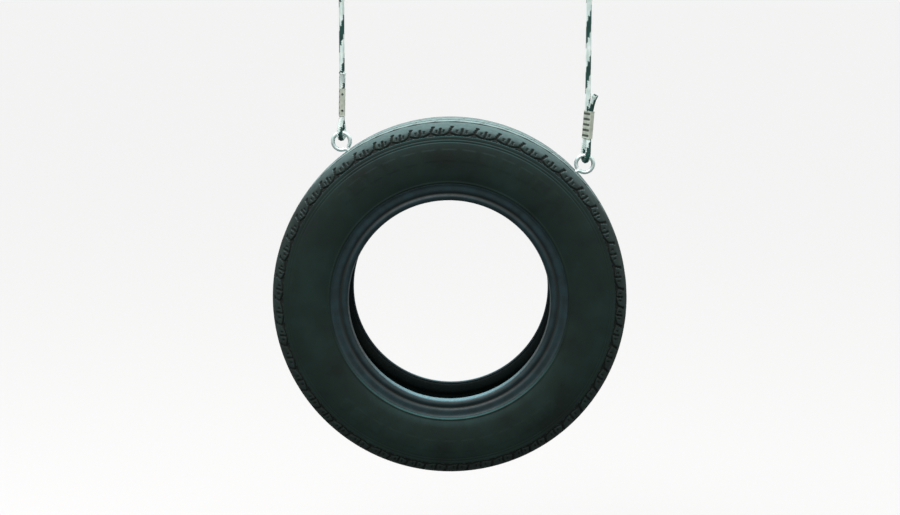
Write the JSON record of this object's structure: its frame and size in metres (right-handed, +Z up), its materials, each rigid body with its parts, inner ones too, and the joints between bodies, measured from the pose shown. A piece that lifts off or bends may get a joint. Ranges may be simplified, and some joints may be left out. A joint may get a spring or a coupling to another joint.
{
  "type": "tyre swing",
  "caption": "Old car tyre hung upright as a swing from two short braided ropes with folded metal clamps and bent eyebolts.",
  "frame": {"origin": "midway between the two beam screws, on the underside of the beam", "axes": "+Z up out of the beam screws, +X along the beam to the right seen from the front, +Y to the rear along the tyre's axle"},
  "size_m": [0.6219, 0.19, 1.0769],
  "materials": {
    "tread_rubber": "worn matt",
    "sidewall_rubber": "satin",
    "inner_rubber": "smooth matt",
    "bead_steel": "brass coated wire",
    "bolt_steel": "bright zinc plate",
    "beam_steel": "bright zinc plate",
    "clamp_aluminium": "dull, folded sheet",
    "pin_steel": "plain",
    "rope_braid": "white braid with a green tracer",
    "nylon": "natural"
  },
  "bodies": {
    "beam_fittings": {"left_beam_screw": "beam_steel", "right_beam_screw": "beam_steel", "beam_washers": "beam_steel"},
    "left_hanger": {"left_rope": "rope_braid", "left_lower_clamp": "clamp_aluminium", "left_upper_clamp": "clamp_aluminium", "left_clamp_pins": "pin_steel"},
    "right_hanger": {"right_rope": "rope_braid", "right_lower_clamp": "clamp_aluminium", "right_upper_clamp": "clamp_aluminium", "right_clamp_pins": "pin_steel"},
    "tyre": {"tread": "tread_rubber", "steel_belts": "inner_rubber", "body_ply": "inner_rubber", "front_sidewall": "sidewall_rubber", "rear_sidewall": "sidewall_rubber", "front_rim_strip": "sidewall_rubber", "rear_rim_strip": "sidewall_rubber", "front_bead_wire": "bead_steel", "rear_bead_wire": "bead_steel", "left_eyebolt": "bolt_steel", "right_eyebolt": "bolt_steel", "bolt_washers": "bolt_steel", "bolt_spring_washers": "bolt_steel", "bolt_lock_nuts": "bolt_steel", "lock_nut_rings": "nylon"}
  },
  "joints": [
    {"name": "left_rope_swing", "type": "hinge", "parent": "beam_fittings", "child": "left_hanger", "pos_m": [-0.21649, 0, -0.051], "axis": [1, 0, 0], "range_deg": [-45, 45]},
    {"name": "right_rope_swing", "type": "hinge", "parent": "beam_fittings", "child": "right_hanger", "pos_m": [0.21649, 0, -0.051], "axis": [1, 0, 0], "range_deg": [-45, 45]},
    {"name": "tyre_tilt", "type": "hinge", "parent": "left_hanger", "child": "tyre", "pos_m": [-0.21825, 0, -0.40537], "axis": [0.9959, 0, -0.0906], "range_deg": [-45, 45]}
  ],
  "couplings": [
    {"joint": "right_rope_swing", "follows": "left_rope_swing", "ratio": 1}
  ]
}
